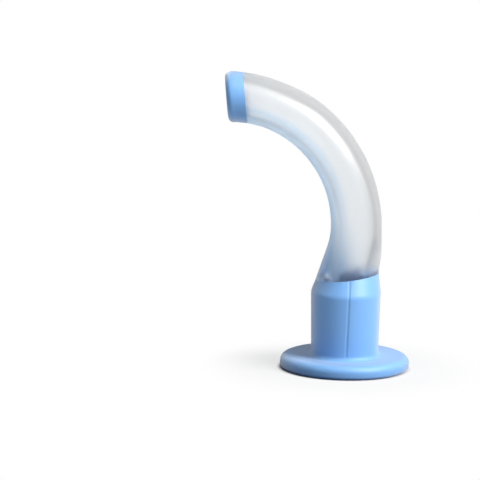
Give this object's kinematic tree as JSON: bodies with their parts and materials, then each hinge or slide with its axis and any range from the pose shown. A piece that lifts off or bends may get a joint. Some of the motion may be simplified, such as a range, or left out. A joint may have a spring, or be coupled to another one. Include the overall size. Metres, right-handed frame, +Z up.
{
  "type": "oropharyngeal airway",
  "caption": "Curved oval airway tube of translucent plastic with a soft blue flange, bite block, concave strip and rounded tip, standing on its flange.",
  "frame": {"origin": "centre of the airway's opening in the plane of the flange's underside", "axes": "+Z up along the bite block, the tube curving over towards -X in the plane y = 0, +Y across the airway"},
  "size_m": [0.0336, 0.0266, 0.0525],
  "materials": {
    "clear_tube": "natural translucent polypropylene, satin",
    "blue_soft": "opaque light blue thermoplastic elastomer, satin"
  },
  "bodies": {
    "root": {"airway_tube": "clear_tube", "soft_overmould": "blue_soft"}
  },
  "joints": []
}
